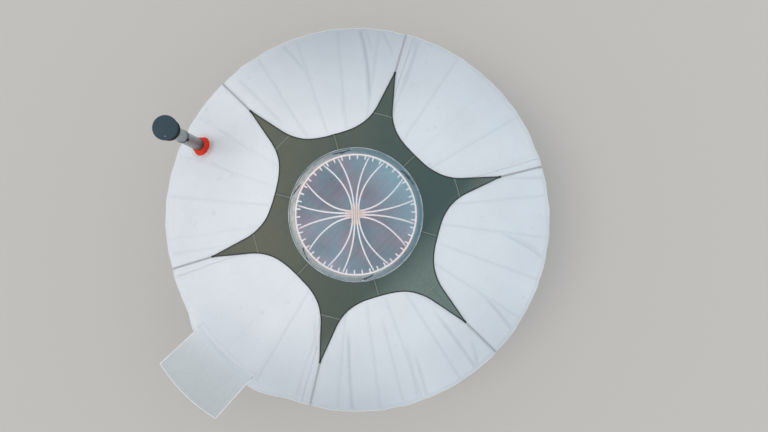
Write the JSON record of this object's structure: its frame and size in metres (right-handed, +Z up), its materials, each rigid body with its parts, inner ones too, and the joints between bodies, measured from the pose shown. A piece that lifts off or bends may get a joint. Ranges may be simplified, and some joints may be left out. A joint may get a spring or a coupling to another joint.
{
  "type": "yurt",
  "caption": "Round lattice-walled tent with a star-shaped cap cover, a clear crown dome, a stove flue and an arched awning over its door.",
  "frame": {"origin": "on the ground under the middle of the floor, on the underside of the middle joist", "axes": "+Z up; the door and its awning face -Y; +X to the right of someone who looks at the door"},
  "size_m": [5.9332, 6.6356, 3.56],
  "materials": {
    "joist_timber": "sawn softwood",
    "floor_boarding": "planed softwood boards",
    "lattice_lath": "planed ash laths",
    "door_timber": "oiled larch",
    "door_iron": "black powder coat",
    "wall_cloth": "proofed cotton canvas over felt",
    "belt_webbing": "woven webbing",
    "rafter_pole": "peeled ash poles",
    "crown_timber": "steam-bent ash",
    "roof_cloth": "proofed cotton canvas",
    "star_cloth": "olive proofed canvas",
    "strap_webbing": "woven webbing",
    "collar_cloth": "gathered white canvas",
    "dome_sheet": "clear drape-formed acrylic",
    "flue_steel": "brushed stainless twin-wall pipe",
    "boot_rubber": "red silicone",
    "cap_paint": "dark blue-grey enamel",
    "awning_cloth": "proofed cotton canvas",
    "awning_timber": "round ash rails"
  },
  "bodies": {
    "root": {"floor_joists": "joist_timber", "platform_rim": "joist_timber", "floor_boards": "floor_boarding", "lattice_1": "lattice_lath", "lattice_2": "lattice_lath", "lattice_3": "lattice_lath", "lattice_4": "lattice_lath", "door_post_left": "door_timber", "door_post_right": "door_timber", "door_lintel": "door_timber", "door_threshold": "door_timber", "door_leaf": "door_timber", "door_hinges": "door_iron", "door_handle": "door_iron", "wall_canvas_1": "wall_cloth", "wall_canvas_2": "wall_cloth", "wall_canvas_3": "wall_cloth", "wall_canvas_4": "wall_cloth", "wall_belts": "belt_webbing", "rafters_1": "rafter_pole", "rafters_2": "rafter_pole", "rafters_3": "rafter_pole", "rafters_4": "rafter_pole", "crown_ring": "crown_timber", "crown_laths_lower": "crown_timber", "crown_laths_upper": "crown_timber", "roof_panel_1": "roof_cloth", "roof_panel_2": "roof_cloth", "roof_panel_3": "roof_cloth", "roof_panel_4": "roof_cloth", "roof_panel_5": "roof_cloth", "roof_panel_6": "roof_cloth", "star_cap": "star_cloth", "star_straps": "strap_webbing", "dome_collar": "collar_cloth", "dome": "dome_sheet", "flue_support": "flue_steel", "flue_boot": "boot_rubber", "flue_lower": "flue_steel", "flue_upper": "flue_steel", "flue_band": "flue_steel", "flue_cap": "cap_paint", "awning_canopy": "awning_cloth", "awning_frame": "awning_timber"}
  },
  "joints": []
}
